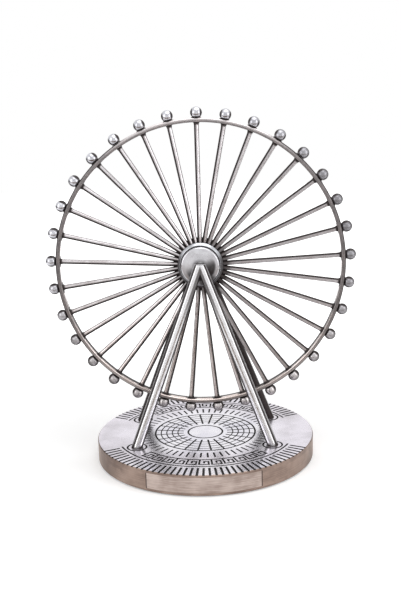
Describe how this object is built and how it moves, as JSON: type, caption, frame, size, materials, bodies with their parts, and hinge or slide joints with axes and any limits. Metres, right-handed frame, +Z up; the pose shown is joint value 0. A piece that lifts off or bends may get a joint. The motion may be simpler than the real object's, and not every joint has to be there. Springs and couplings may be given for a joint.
{
  "type": "model ferris wheel",
  "caption": "Table model of a ferris wheel: a spoked wheel with ball cabins turns between two A-shaped pairs of legs on a round engraved base.",
  "frame": {"origin": "middle of the base's resting face", "axes": "+Z up; +Y along the axle from the nameplate side to the rear; +X to the right seen from the nameplate side"},
  "size_m": [0.1114, 0.08, 0.1273],
  "materials": {
    "base_plating": "antique nickel plating, polished top with dark engraved lines",
    "plate_plating": "antique nickel plating, brushed",
    "leg_plating": "antique nickel plating, satin, brushed along the leg",
    "hub_plating": "antique nickel plating, bright edges, dark in the corners",
    "cap_plating": "antique nickel plating, brushed face",
    "rim_plating": "antique nickel plating, worn bright on the face",
    "spoke_plating": "antique nickel plating, dark towards the hub and at the rim",
    "cabin_plating": "polished nickel plating, dark where the ball meets the rim",
    "bright_steel": "bare turned steel",
    "bush_brass": "bare turned brass",
    "felt": "black pressed felt"
  },
  "bodies": {
    "stand": {"base_casting": "base_plating", "nameplate": "plate_plating", "base_pad": "felt", "leg_screws": "bright_steel", "front_left_leg": "leg_plating", "front_right_leg": "leg_plating", "rear_left_leg": "leg_plating", "rear_right_leg": "leg_plating", "axle": "bright_steel", "front_washer": "bright_steel", "rear_washer": "bright_steel"},
    "wheel": {"hub_barrel": "hub_plating", "front_flange": "hub_plating", "rear_flange": "hub_plating", "front_cap": "cap_plating", "rear_cap": "cap_plating", "front_bush": "bush_brass", "rear_bush": "bush_brass", "rim": "rim_plating", "spokes": "spoke_plating", "cabin_01": "cabin_plating", "cabin_02": "cabin_plating", "cabin_03": "cabin_plating", "cabin_04": "cabin_plating", "cabin_05": "cabin_plating", "cabin_06": "cabin_plating", "cabin_07": "cabin_plating", "cabin_08": "cabin_plating", "cabin_09": "cabin_plating", "cabin_10": "cabin_plating", "cabin_11": "cabin_plating", "cabin_12": "cabin_plating", "cabin_13": "cabin_plating", "cabin_14": "cabin_plating", "cabin_15": "cabin_plating", "cabin_16": "cabin_plating", "cabin_17": "cabin_plating", "cabin_18": "cabin_plating", "cabin_19": "cabin_plating", "cabin_20": "cabin_plating", "cabin_21": "cabin_plating", "cabin_22": "cabin_plating", "cabin_23": "cabin_plating", "cabin_24": "cabin_plating", "cabin_25": "cabin_plating", "cabin_26": "cabin_plating", "cabin_27": "cabin_plating", "cabin_28": "cabin_plating", "cabin_29": "cabin_plating", "cabin_30": "cabin_plating", "cabin_31": "cabin_plating", "cabin_32": "cabin_plating", "cabin_33": "cabin_plating"}
  },
  "joints": [
    {"name": "wheel_spin", "type": "hinge", "parent": "stand", "child": "wheel", "pos_m": [0, 0, 0.07162], "axis": [0, 1, 0], "continuous": true}
  ]
}
